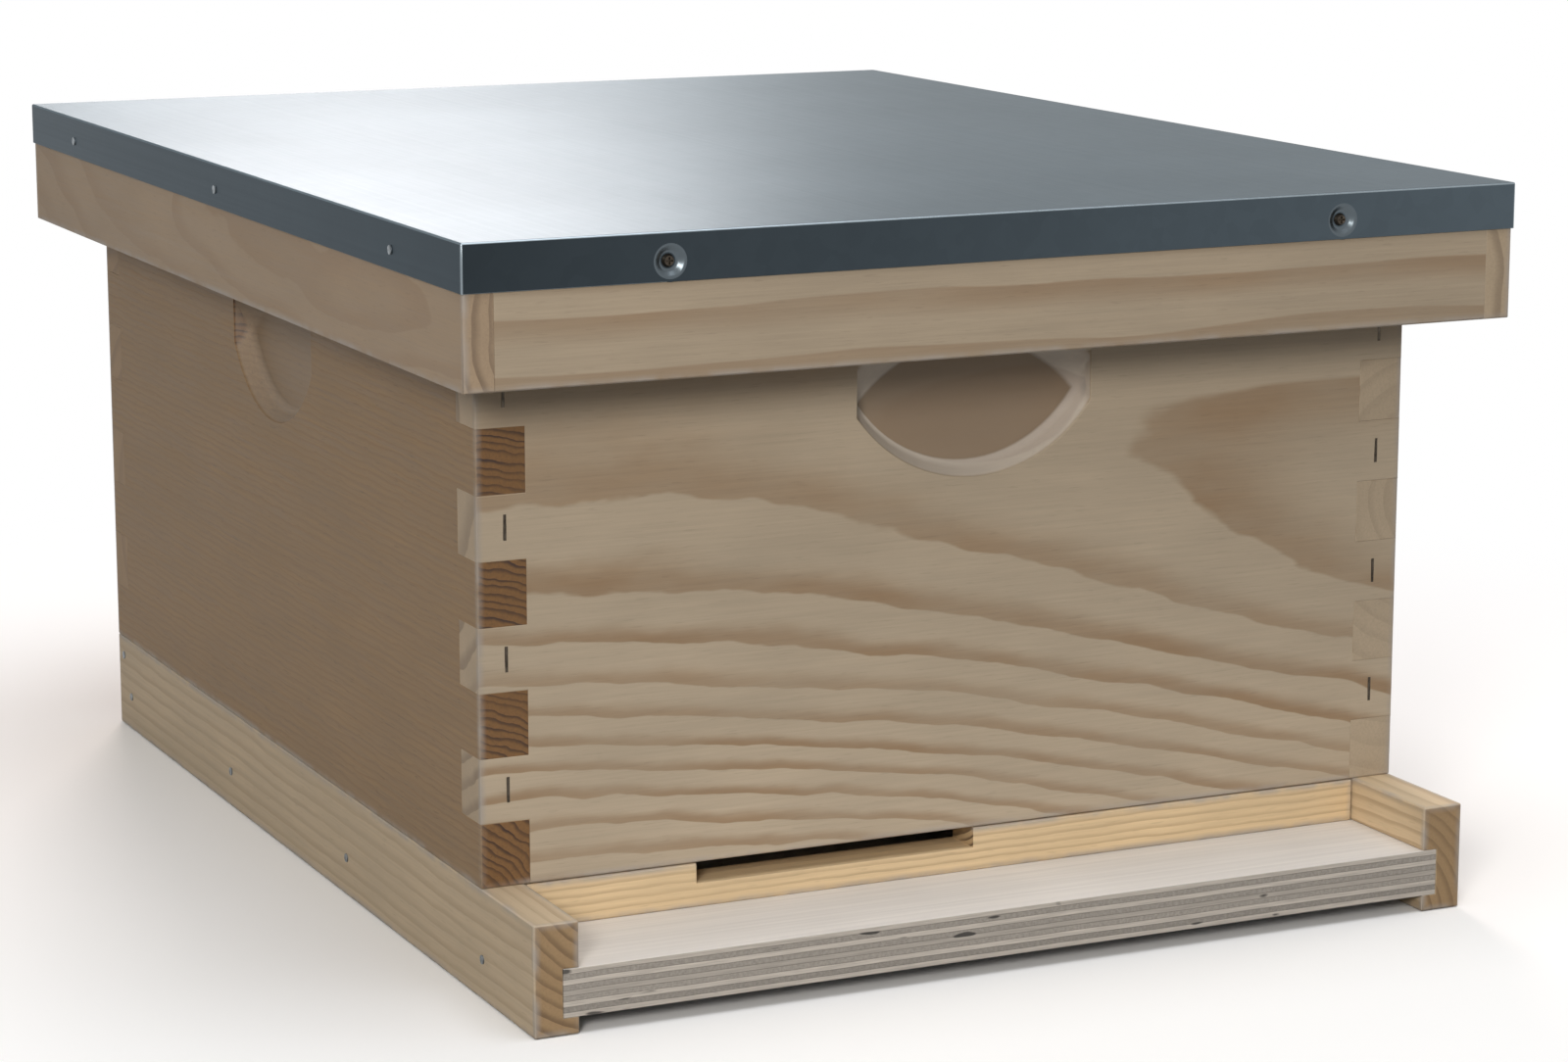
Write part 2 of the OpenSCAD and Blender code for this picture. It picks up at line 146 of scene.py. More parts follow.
class HiveSizes(bpy.types.PropertyGroup):
    """Sizes that the finishing works to."""

    arris: FloatProperty(
        name="Arris", description="Width of the eased edge on a board",
        default=0.8 * MM, min=0.1 * MM, max=2 * MM, unit="LENGTH")
    joint_arris: FloatProperty(
        name="Joint arris", description="Width of the eased edge on a joint's fingers",
        default=0.22 * MM, min=0.05 * MM, max=1 * MM, unit="LENGTH")
    fold: FloatProperty(
        name="Fold", description="Width of the rounding along the cover's folds",
        default=1.3 * MM, min=0.2 * MM, max=2 * MM, unit="LENGTH")
    worn_edge: FloatProperty(
        name="Worn edge", description="How far handling has greyed the wood from an edge",
        default=3.5 * MM, min=0.5 * MM, max=12 * MM, unit="LENGTH")
    cell: FloatProperty(
        name="Comb cell", description="Width across the flats of an embossed cell",
        default=5.3 * MM, min=4.6 * MM, max=6 * MM, unit="LENGTH")
    spangle: FloatProperty(
        name="Spangle", description="Size of the crystals in the zinc coating",
        default=7 * MM, min=1 * MM, max=20 * MM, unit="LENGTH")


class HiveColours(bpy.types.PropertyGroup):
    """Colours of the hive's materials."""

    early: FloatVectorProperty(
        name="Earlywood", description="Pale part of a growth ring in pine",
        subtype="COLOR", default=linear("#bcac95"))
    late: FloatVectorProperty(
        name="Latewood", description="Dark part of a growth ring in pine",
        subtype="COLOR", default=linear("#8f7150"))
    end_early: FloatVectorProperty(
        name="End grain", description="Pale part of a ring on a board's end",
        subtype="COLOR", default=linear("#a0825c"))
    end_late: FloatVectorProperty(
        name="End grain rings", description="Dark part of a ring on a board's end",
        subtype="COLOR", default=linear("#3a1f0c"))
    handled: FloatVectorProperty(
        name="Handled edge", description="Wood greyed by hands and sandpaper",
        subtype="COLOR", default=linear("#aaa29a"))
    # Painted shade: a handhold's floor takes this brown in place of the shade of the recess under
    # the lid.
    hold_shading: FloatVectorProperty(
        name="Handhold shading", description="Brown painted on a handhold's floor as its shade",
        subtype="COLOR", default=linear("#7c6240"))
    fresh: FloatVectorProperty(
        name="Fresh pine", description="Newly cut pine of the loose and inner parts",
        subtype="COLOR", default=linear("#dfc59c"))
    veneer: FloatVectorProperty(
        name="Veneer", description="Face veneer of the plywood",
        subtype="COLOR", default=linear("#e6e2dd"))
    ply: FloatVectorProperty(
        name="Plywood edge", description="Plies on the plywood's edge",
        subtype="COLOR", default=linear("#bfb7ad"))
    zinc: FloatVectorProperty(
        name="Zinc", description="Zinc coating on the flat of the cover",
        subtype="COLOR", default=linear("#858f95"))
    # Painted reflection: the folded-down flange takes this darker zinc in place of reflecting a
    # darker surround.
    zinc_fold_shade: FloatVectorProperty(
        name="Shaded zinc on the fold", description="Zinc painted darker on the folded-down flange as its dark reflection",
        subtype="COLOR", default=linear("#454e54"))
    # Painted shade: the walls of the screw dishes take this darker zinc as the shade of the
    # hollows.
    zinc_dish_shade: FloatVectorProperty(
        name="Shaded pressed zinc", description="Zinc painted darker in the dishes of the screws as their shade",
        subtype="COLOR", default=linear("#596166"))
    wire: FloatVectorProperty(
        name="Wire", description="Galvanised wire of the nails",
        subtype="COLOR", default=linear("#878d91"))
    staple: FloatVectorProperty(
        name="Staple", description="Bare steel wire of the staples and the cover's screws",
        subtype="COLOR", default=linear("#4b443c"))
    wax: FloatVectorProperty(
        name="Wax", description="Beeswax on the foundation sheets",
        subtype="COLOR", default=linear("#d29a3a"))


# ---------------------------------------------------------------- wood


class Timber(NamedTuple):
    """How a board was cut from its log. Lengths are in mm from the board's middle."""

    grain: str                 # the axis that the grain runs along
    heart: tuple               # where the log's heart passes, across the grain
    lean: tuple = (0.0, 0.0)   # the heart's drift for each mm along the grain
    bend: tuple = (0.0, 0.0)   # the change in that drift for each mm
    ring: float = 4.0          # width of a growth ring
    growth: float = 1.0        # above 1, the rings get narrower outwards
    wander: float = 3.0        # how far the rings stray
    ripple: float = 0.3        # how far they ripple, over 10 mm
    uneven: float = 0.8        # how unevenly wide the years are
    rings: float = 0.8         # how strongly they show
    ends: float = 1.0          # how strongly they show on the end grain
    pale: float = 0.0          # how far the end grain is as pale as the face
    fibres: float = 1.0        # how strongly the fibres show
    # How strongly a handhold's floor is painted in shade and its sloping sides in light.
    hold_shading: float = 0.0        # how far its handhold is browned
    tint: str = "#ffffff"      # what darkens this board's wood
    fresh: float = 0.0         # how far the wood is new pine


HANDHOLD_DEPTH = 10.0   # mm

# The front board was cut flat, so its rings close in flames at the upper left and right and
# run in wavy bands below. The left side was cut near the quarter: fine straight lines.
BOARDS = {
    "front_panel": Timber("X", (54.8, 49.7), (-0.0991, -0.135), (-0.00024, -0.00022),
                          ring=58.6, growth=2.03, wander=8.0, ripple=0.8, uneven=0.0,
                          rings=0.8, ends=0.5, pale=0.7, hold_shading=1.0),
    "rear_panel": Timber("X", (-64.0, -30.0), (0.08, 0.1), (0.0003, 0.0), ring=48.0,
                         growth=1.7, wander=5.0, rings=0.8, ends=0.3, pale=0.5, hold_shading=1.0,
                         tint="#e0d4c4"),
    "left_panel": Timber("Y", (-36.0, -151.0), ring=3.3, wander=1.8, ripple=0.9, rings=0.3,
                         fibres=2.4, hold_shading=0.35, tint="#c1ad91"),
    "right_panel": Timber("Y", (60.0, 20.0), (0.04, 0.05), (-0.0003, 0.0), ring=9.0,
                          wander=6.0, rings=0.6, ends=0.12, pale=0.85, hold_shading=1.0),
    "lid_rim_front": Timber("X", (70.0, -96.0), ring=14.0, wander=5.0, rings=0.6, pale=0.6,
                            tint="#eae8e6"),
    "lid_rim_rear": Timber("X", (-60.0, -70.0), ring=11.0, wander=5.0, rings=0.6, pale=0.6),
    "lid_rim_left": Timber("Y", (62.0, 14.0), (0.03, 0.03), (0.0001, 0.0), ring=6.5,
                           wander=10.0, rings=0.3, ends=0.5, pale=1.0, tint="#ddd2c8"),
    "lid_rim_right": Timber("Y", (-58.0, -10.0), (0.02, 0.0), (0.0002, 0.0), ring=13.0,
                            wander=8.0, rings=0.45, ends=0.45, pale=0.7),
    "rail_left": Timber("Y", (30.0, 46.0), ring=5.0, wander=2.5, rings=0.35, ends=0.6,
                        pale=0.1, fresh=0.35),
    "rail_right": Timber("Y", (-38.0, -30.0), ring=5.0, wander=2.5, rings=0.5, ends=0.4,
                         pale=0.1, fresh=0.6),
    "rear_rail": Timber("X", (-28.0, 50.0), ring=5.0, wander=2.5, rings=0.5, pale=0.4),
    "entrance_block": Timber("X", (26.0, 70.0), ring=3.2, wander=2.0, rings=0.4, pale=0.5,
                             fresh=1.0),
    "inner_rim_front": Timber("X", (40.0, 30.0), ring=3.6, rings=0.5, fresh=0.8),
    "inner_rim_rear": Timber("X", (-40.0, 30.0), ring=3.6, rings=0.5, fresh=0.7),
    "inner_rim_left": Timber("Y", (40.0, 30.0), ring=3.6, rings=0.5, fresh=0.8),
    "inner_rim_right": Timber("Y", (-40.0, 26.0), ring=3.6, rings=0.5, fresh=0.9),
}
TOP_BARS = [Timber("Y", (30.0, 34.0), (0.02, 0.0), ring=4.2, rings=0.5, fresh=0.9),
            Timber("Y", (-24.0, 48.0), (0.0, 0.03), ring=5.0, rings=0.6, fresh=0.7),
            Timber("Y", (12.0, -40.0), (0.04, 0.0), ring=3.6, rings=0.5, fresh=1.0)]
SIDE_BARS = [Timber("Z", (24.0, 30.0), ring=4.0, rings=0.5, fresh=0.8),
             Timber("Z", (-30.0, 18.0), ring=4.6, rings=0.5, fresh=1.0)]


def planed_pine(name, cut, middle, outline):
    """Pine, sawn and planed, unpainted: a dull sheen, rings that run through the board and come
    out on its ends, fine fibres, and edges greyed by handling. In a handhold, the floor carries
    painted shade and the sloping sides painted light."""
    colours, sizes = bpy.context.scene.hive_colours, bpy.context.scene.hive_sizes
    material, t = new_material(name)
    where = add(t, "TexCoord", out=None)
    here = add(t, "VectorMath", (where["Object"], middle), operation="SUBTRACT")
    in_mm = add(t, "VectorMath", {0: here, "Scale": 1 / MM}, operation="SCALE")
    x, y, z = add(t, "SeparateXYZ", (in_mm,), out=None)
    along, across, over = {"X": (x, y, z), "Y": (y, x, z), "Z": (z, x, y)}[cut.grain]
    stem = add(t, "CombineXYZ", (along, across, over))

    # Rings stray slowly, over about 160 mm along the grain and 60 mm across it.
    stretched = add(t, "VectorMath", (stem, (1 / 160, 1 / 60, 1 / 60)), operation="MULTIPLY")
    stray = add(t, "TexNoise", {"Vector": stretched, "Scale": 1.0, "Detail": 2.0,
                                "Roughness": 0.42}, out="Color")
    stray = add(t, "VectorMath", (stray, (0.5, 0.5, 0.5)), operation="SUBTRACT")
    stray = add(t, "VectorMath", {0: stray, "Scale": 2 * cut.wander}, operation="SCALE")
    _, stray_across, stray_over = add(t, "SeparateXYZ", (stray,), out=None)
    close = add(t, "VectorMath", (stem, (1 / 25, 1 / 10, 1 / 10)), operation="MULTIPLY")
    ripple = add(t, "TexNoise", {"Vector": close, "Scale": 1.0, "Detail": 2.0})
    ripple = add(t, "MapRange", (ripple, 0.0, 1.0, -2.0, 2.0))
    from_heart = []
    for place, start, lean, bend, strayed in zip(
            (across, over), cut.heart, cut.lean, cut.bend, (stray_across, stray_over)):
        drift = add(t, "Math", (along, bend, lean), operation="MULTIPLY_ADD")
        heart = add(t, "Math", (drift, along, start), operation="MULTIPLY_ADD")
        offset = add(t, "Math", (place, heart), operation="SUBTRACT")
        strayed = add(t, "Math", (offset, strayed), operation="ADD")
        from_heart.append(add(t, "Math", (ripple, cut.ripple, strayed),
                              operation="MULTIPLY_ADD"))
    radius = add(t, "CombineXYZ", (0.0, *from_heart))
    radius = add(t, "VectorMath", (radius,), out="Value", operation="LENGTH")
    count = add(t, "Math", (radius, cut.ring), operation="DIVIDE")
    count = add(t, "Math", (count, cut.growth), operation="POWER")
    uneven = add(t, "TexNoise", {"W": count, "Scale": 0.37, "Detail": 1.0},
                 noise_dimensions="1D")
    uneven = add(t, "MapRange", (uneven, 0.0, 1.0, -cut.uneven / 2, cut.uneven / 2))
    count = add(t, "Math", (uneven, count), operation="ADD")
    part = add(t, "Math", (count,), operation="FRACT")
    year = add(t, "Math", (count,), operation="FLOOR")
    vigour = add(t, "TexWhiteNoise", {"W": year}, noise_dimensions="1D")
    vigour = add(t, "MapRange", (vigour, 0.0, 1.0, 0.7, 1.0))
    rise = add(t, "MapRange", (part, 0.42, 0.88, 0.0, 1.0), interpolation_type="SMOOTHSTEP")
    drop = add(t, "MapRange", (part, 0.95, 1.0, 1.0, 0.0), interpolation_type="SMOOTHSTEP")
    late = add(t, "Math", (rise, drop), operation="MULTIPLY")
    late = add(t, "Math", (late, vigour), operation="MULTIPLY")
    blotch = add(t, "TexNoise", {"Vector": stretched, "Scale": 2.3, "Detail": 3.0})
    patchy = add(t, "MapRange", (blotch, 0.35, 0.65, 0.6, 1.1))
    late = add(t, "Math", (late, patchy), operation="MULTIPLY", use_clamp=True)

    # Fibres are 0.03 mm wide; drawn here 1.1 mm wide and 45 mm long so that they show.
    strands = add(t, "VectorMath", (stem, (1 / 45, 1 / 1.1, 1 / 1.1)), operation="MULTIPLY")
    fibre = add(t, "TexNoise", {"Vector": strands, "Scale": 1.0, "Detail": 3.0,
                                "Roughness": 0.6})
    # Resin canals: dark dashes 10 mm long and 0.8 mm wide.
    dashes = add(t, "VectorMath", (stem, (1 / 10, 1 / 0.8, 1 / 0.8)), operation="MULTIPLY")
    canal = add(t, "TexNoise", {"Vector": dashes, "Scale": 1.0, "Detail": 1.0})
    canal = add(t, "MapRange", (canal, 0.64, 0.74, 0.0, 1.0))

    early = add(t, "Mix", {0: cut.fresh, MIX_A: (*colours.early, 1.0),
                           MIX_B: (*colours.fresh, 1.0)}, out=MIXED, data_type="RGBA")
    shown = add(t, "Math", (late, cut.rings), operation="MULTIPLY")
    face = add(t, "Mix", {0: shown, MIX_A: early, MIX_B: (*colours.late, 1.0)}, out=MIXED,
               data_type="RGBA")
    end = add(t, "Mix", {0: cut.pale, MIX_A: (*colours.end_early, 1.0), MIX_B: early}, out=MIXED,
              data_type="RGBA")
    shown = add(t, "Math", (late, cut.ends), operation="MULTIPLY")
    end = add(t, "Mix", {0: shown, MIX_A: end, MIX_B: (*colours.end_late, 1.0)}, out=MIXED,
              data_type="RGBA")
    axis = {"X": (1.0, 0.0, 0.0), "Y": (0.0, 1.0, 0.0), "Z": (0.0, 0.0, 1.0)}[cut.grain]
    cut_across = add(t, "VectorMath", (where["Normal"], axis), out="Value",
                     operation="DOT_PRODUCT")
    cut_across = add(t, "Math", (cut_across,), operation="ABSOLUTE")
    cut_across = add(t, "MapRange", (cut_across, 0.75, 0.95, 0.0, 1.0))
    wood = add(t, "Mix", {0: cut_across, MIX_A: face, MIX_B: end}, out=MIXED, data_type="RGBA")
    shade = add(t, "MapRange", (fibre, 0.25, 0.75, 1 - 0.08 * cut.fibres,
                                1 + 0.07 * cut.fibres))
    shade = add(t, "Math", (canal, -0.1 * cut.fibres, shade), operation="MULTIPLY_ADD")
    cloud = add(t, "MapRange", (blotch, 0.3, 0.7, 0.93, 1.06))
    shade = add(t, "Math", (shade, cloud), operation="MULTIPLY")
    wood = add(t, "VectorMath", {0: wood, "Scale": shade}, operation="SCALE")
    wood = add(t, "VectorMath", (wood, linear(cut.tint)), operation="MULTIPLY")

    # Distance from the nearest outer edge: the middle one of the distances to the three
    # nearest sides.
    low = add(t, "VectorMath", (where["Object"], outline[0]), operation="SUBTRACT")
    high = add(t, "VectorMath", (outline[1], where["Object"]), operation="SUBTRACT")
    near = add(t, "VectorMath", (low, high), operation="MINIMUM")
    a, b, c = add(t, "SeparateXYZ", (near,), out=None)
    least = add(t, "Math", (a, b), operation="MINIMUM")
    most = add(t, "Math", (a, b), operation="MAXIMUM")
    most = add(t, "Math", (most, c), operation="MINIMUM")
    edge = add(t, "Math", (least, most), operation="MAXIMUM")
    # Painted light and shade in a handhold: its floor is painted browner, as the shade of the
    # recess under the lid, and its sloping sides paler, as the light on the up-facing bevel.
    deep = add(t, "Math", (least, c), operation="MINIMUM")
    deep = add(t, "Math", (deep, 1 / MM), operation="MULTIPLY")
    inside = add(t, "MapRange", (deep, HANDHOLD_DEPTH + 0.4, HANDHOLD_DEPTH + 1.0,
                                 1.0, 0.0))
    # Painted light on the handhold's sloping sides.
    side = add(t, "MapRange", (deep, 0.3, 1.2, 0.0, 0.4 * cut.hold_shading))
    side = add(t, "Math", (side, inside), operation="MULTIPLY")
    wood = add(t, "Mix", {0: side, MIX_A: wood, MIX_B: (*colours.veneer, 1.0)}, out=MIXED,
               data_type="RGBA")
    # Painted shade on the handhold's floor.
    floor = add(t, "MapRange", (deep, HANDHOLD_DEPTH - 1.4, HANDHOLD_DEPTH - 0.3,
                                0.0, 0.72 * cut.hold_shading))
    floor = add(t, "Math", (floor, inside), operation="MULTIPLY")
    wood = add(t, "Mix", {0: floor, MIX_A: wood, MIX_B: (*colours.hold_shading, 1.0)}, out=MIXED,
               data_type="RGBA")
    edge = add(t, "MapRange", (edge, 0.0, sizes.worn_edge, 1.0, 0.0),
               interpolation_type="SMOOTHSTEP")
    rubbed = add(t, "TexNoise", {"Vector": in_mm, "Scale": 1 / 14, "Detail": 3.0})
    rubbed = add(t, "MapRange", (rubbed, 0.35, 0.6, 0.15, 0.8))
    edge = add(t, "Math", (edge, rubbed), operation="MULTIPLY")
    wood = add(t, "Mix", {0: edge, MIX_A: wood, MIX_B: (*colours.handled, 1.0)}, out=MIXED,
               data_type="RGBA")

    gloss = add(t, "MapRange", (fibre, 0.2, 0.8, 0.56, 0.72))
    relief = add(t, "Math", (late, 0.5, fibre), operation="MULTIPLY_ADD")
    bump = add(t, "Bump", {"Strength": 0.5, "Distance": 0.12 * MM, "Height": relief})
    surface = add(t, "BsdfPrincipled", {"Base Color": wood, "Roughness": gloss, "IOR": 1.53,
                                        "Normal": bump})
    add(t, "OutputMaterial", (surface,), out=None)
    return material


def veneered_plywood(name, middle, thickness, plies=9):
    """Birch plywood, sanded and trimmed with a saw: a pale face with faint grain, and an edge of
    grey-brown plies, alternately long and end grain, with dark glue lines and a few voids."""
    colours = bpy.context.scene.hive_colours
    material, t = new_material(name)
    where = add(t, "TexCoord", out=None)
    here = add(t, "VectorMath", (where["Object"], middle), operation="SUBTRACT")
    in_mm = add(t, "VectorMath", {0: here, "Scale": 1 / MM}, operation="SCALE")
    z = add(t, "SeparateXYZ", (in_mm,), out="Z")
    # The glue lines wave by about 0.4 mm over 60 mm.
    waved = add(t, "TexNoise", {"Vector": in_mm, "Scale": 1 / 60, "Detail": 3.0})
    waved = add(t, "MapRange", (waved, 0.0, 1.0, -0.5, 0.5))
    level = add(t, "Math", (z, waved), operation="ADD")
    level = add(t, "Math", (level, thickness / MM / plies), operation="DIVIDE")
    level = add(t, "Math", (level, plies / 2), operation="ADD")
    ply = add(t, "Math", (level,), operation="FLOOR")
    within = add(t, "Math", (level,), operation="FRACT")
    odd = add(t, "Math", (ply, 2.0), operation="MODULO")
    tint = add(t, "TexWhiteNoise", {"W": ply}, noise_dimensions="1D")
    tint = add(t, "MapRange", (tint, 0.0, 1.0, 0.82, 1.14))
    streaked = add(t, "VectorMath", (in_mm, (1 / 14, 1 / 14, 1 / 0.5)), operation="MULTIPLY")
    streak = add(t, "TexNoise", {"Vector": streaked, "Scale": 1.0, "Detail": 2.0})
    speckle = add(t, "TexNoise", {"Vector": in_mm, "Scale": 1 / 1.4, "Detail": 2.0})
    texture = add(t, "Mix", {0: odd, 2: streak, 3: speckle}, data_type="FLOAT")
    texture = add(t, "MapRange", (texture, 0.25, 0.75, 0.8, 1.16))
    light = add(t, "MapRange", (odd, 0.0, 1.0, 1.15, 0.74))
    shade = add(t, "Math", (texture, light), operation="MULTIPLY")
    shade = add(t, "Math", (shade, tint), operation="MULTIPLY")
    middle_of_ply = add(t, "Math", (within, 0.5), operation="SUBTRACT")
    middle_of_ply = add(t, "Math", (middle_of_ply,), operation="ABSOLUTE")
    glue = add(t, "MapRange", (middle_of_ply, 0.40, 0.48, 1.0, 0.55))
    shade = add(t, "Math", (shade, glue), operation="MULTIPLY")
    # Voids 6 to 10 mm long in the middle of a ply, painted near black: painted shade inside the
    # gaps.
    stretched = add(t, "VectorMath", (in_mm, (1 / 14, 1 / 14, 1 / 3)), operation="MULTIPLY")
    void_shade = add(t, "TexNoise", {"Vector": stretched, "Scale": 1.0, "Detail": 0.0})
    void_shade = add(t, "MapRange", (void_shade, 0.78, 0.82, 1.0, 0.15))
    edge_shade = add(t, "Math", (shade, void_shade), operation="MULTIPLY")
    edge = add(t, "VectorMath", {0: tuple(colours.ply), "Scale": edge_shade},
               operation="SCALE")
    grained = add(t, "VectorMath", (in_mm, (1 / 90, 1 / 2.2, 1 / 2.2)), operation="MULTIPLY")
    grain = add(t, "TexNoise", {"Vector": grained, "Scale": 1.0, "Detail": 3.0})
    cloud = add(t, "TexNoise", {"Vector": in_mm, "Scale": 1 / 70, "Detail": 2.0})
    face_shade = add(t, "MapRange", (grain, 0.3, 0.7, 0.93, 1.04))
    cloud = add(t, "MapRange", (cloud, 0.3, 0.7, 0.96, 1.03))
    face_shade = add(t, "Math", (face_shade, cloud), operation="MULTIPLY")
    face = add(t, "VectorMath", {0: tuple(colours.veneer), "Scale": face_shade},
               operation="SCALE")
    flat = add(t, "SeparateXYZ", (where["Normal"],), out="Z")
    flat = add(t, "Math", (flat,), operation="ABSOLUTE")
    flat = add(t, "MapRange", (flat, 0.5, 0.8, 0.0, 1.0))
    colour = add(t, "Mix", {0: flat, MIX_A: edge, MIX_B: face}, out=MIXED, data_type="RGBA")
    relief = add(t, "Mix", {0: flat, 2: edge_shade, 3: grain}, data_type="FLOAT")
    bump = add(t, "Bump", {"Strength": 0.5, "Distance": 0.2 * MM, "Height": relief})
    surface = add(t, "BsdfPrincipled", {"Base Color": colour, "Roughness": 0.6, "IOR": 1.5,
                                        "Normal": bump})
    add(t, "OutputMaterial", (surface,), out=None)
    return material


# ---------------------------------------------------------------- metal and wax

# How strongly the zinc glares when seen edge-on: oxide dulls it on the flat.
FLAT_GLARE = (0.32, 0.345, 0.36)
FOLD_GLARE = (0.66, 0.7, 0.73)
# The cover's materials, in order.
ROLLED, FOLDED, PRESSED = range(3)


def galvanised_sheet(name, zinc, edge_glare, left_shading=0.0):
    """Steel sheet, hot-dip galvanised and rolled smooth: a soft satin mirror with a faint
    crystal spangle and slow stains. Its colour can also darken towards the hive's left end,
    as a painted dark reflection."""
    sizes = bpy.context.scene.hive_sizes
    material, t = new_material(name)
    where = add(t, "TexCoord", out="Object")
    crystal = add(t, "TexVoronoi", {"Vector": where, "Scale": 1 / sizes.spangle}, out="Color")
    crystal = add(t, "SeparateXYZ", (crystal,))
    flicker = add(t, "MapRange", (crystal, 0.0, 1.0, 0.97, 1.03))
    stain = add(t, "TexNoise", {"Vector": where, "Scale": 1 / (140 * MM), "Detail": 3.0})
    stain = add(t, "MapRange", (stain, 0.3, 0.7, 0.93, 1.06))
    shade = add(t, "Math", (flicker, stain), operation="MULTIPLY")
    low, high = CAD_BOX
    x = add(t, "SeparateXYZ", (where,))
    # Painted dark reflection: the colour darkens towards the hive's left end.
    left_darkening = add(t, "MapRange", (x, low.x, high.x, 1 - left_shading, 1 + left_shading / 2))
    shade = add(t, "Math", (shade, left_darkening), operation="MULTIPLY")
    colour = add(t, "VectorMath", {0: tuple(zinc), "Scale": shade}, operation="SCALE")
    # Rolling marks run the length of the sheet, 1.5 mm apart.
    rolled = add(t, "VectorMath", (where, (1 / (1.5 * MM), 1 / 0.3, 1 / (1.5 * MM))),
                 operation="MULTIPLY")
    rolled = add(t, "TexNoise", {"Vector": rolled, "Scale": 1.0, "Detail": 2.0})
    gloss = add(t, "MapRange", (rolled, 0.25, 0.75, 0.28, 0.32))
    bump = add(t, "Bump", {"Strength": 0.06, "Distance": 0.02 * MM, "Height": rolled})
    surface = add(t, "BsdfPrincipled", {"Base Color": colour, "Metallic": 1.0,
                                        "Roughness": gloss, "Normal": bump,
                                        "Specular Tint": (*edge_glare, 1.0)})
    add(t, "OutputMaterial", (surface,), out=None)
    return material


def drawn_steel_wire(name, colour):
    """Steel wire, drawn and a little tarnished: small dull grey glints."""
    material, t = new_material(name)
    where = add(t, "TexCoord", out="Object")
    tarnish = add(t, "TexNoise", {"Vector": where, "Scale": 1 / (2.5 * MM), "Detail": 3.0})
    shade = add(t, "MapRange", (tarnish, 0.35, 0.65, 0.6, 1.25))
    colour = add(t, "VectorMath", {0: tuple(colour), "Scale": shade}, operation="SCALE")
    gloss = add(t, "MapRange", (tarnish, 0.35, 0.65, 0.55, 0.38))
    bump = add(t, "Bump", {"Strength": 0.3, "Distance": 0.05 * MM, "Height": tarnish})
    surface = add(t, "BsdfPrincipled", {"Base Color": colour, "Metallic": 1.0,
                                        "Roughness": gloss, "Normal": bump})
    add(t, "OutputMaterial", (surface,), out=None)
    return material


def embossed_wax(name):
    """Beeswax rolled over a sheet and embossed with cells: a soft amber glow with a fine
    honeycomb of raised walls."""
    colours, sizes = bpy.context.scene.hive_colours, bpy.context.scene.hive_sizes
    material, t = new_material(name)
    where = add(t, "TexCoord", out="Object")
    _, y, z = add(t, "SeparateXYZ", (where,), out=None)
    # Cell centres on two interleaved grids; the nearer centre gives the hexagon.
    wide, tall = sizes.cell, sizes.cell * math.sqrt(3)
    nearest = []
    for shift in (0.0, 0.5):
        offsets = []
        for place, pitch in ((y, wide), (z, tall)):
            steps = add(t, "Math", (place, 1 / pitch, shift), operation="MULTIPLY_ADD")
            steps = add(t, "Math", (steps,), operation="FRACT")
            steps = add(t, "Math", (steps, 0.5), operation="SUBTRACT")
            offsets.append(add(t, "Math", (steps, pitch), operation="MULTIPLY"))
        across, up = (add(t, "Math", (v,), operation="ABSOLUTE") for v in offsets)
        slant = add(t, "Math", (up, math.sqrt(3) / 2), operation="MULTIPLY")
        slant = add(t, "Math", (across, 0.5, slant), operation="MULTIPLY_ADD")
        nearest.append(add(t, "Math", (across, slant), operation="MAXIMUM"))
    from_middle = add(t, "Math", nearest, operation="MINIMUM")
    wall = add(t, "MapRange", (from_middle, 0.36 * sizes.cell, 0.48 * sizes.cell, 0.0, 1.0))
    cloud = add(t, "TexNoise", {"Vector": where, "Scale": 1 / (35 * MM), "Detail": 3.0})
    cloud = add(t, "MapRange", (cloud, 0.3, 0.7, 0.9, 1.1))
    # The middles of the cells are painted darker and their walls paler: painted shade in the
    # hollows and painted light on the walls, over the bump.
    shade = add(t, "MapRange", (wall, 0.0, 1.0, 0.86, 1.08))
    shade = add(t, "Math", (shade, cloud), operation="MULTIPLY")
    colour = add(t, "VectorMath", {0: tuple(colours.wax), "Scale": shade}, operation="SCALE")
    bump = add(t, "Bump", {"Strength": 0.8, "Distance": 0.35 * MM, "Height": wall})
    surface = add(t, "BsdfPrincipled", {"Base Color": colour, "Roughness": 0.42, "IOR": 1.44,
                                        "Normal": bump})
    add(t, "OutputMaterial", (surface,), out=None)
    return material


# ---------------------------------------------------------------- meshes


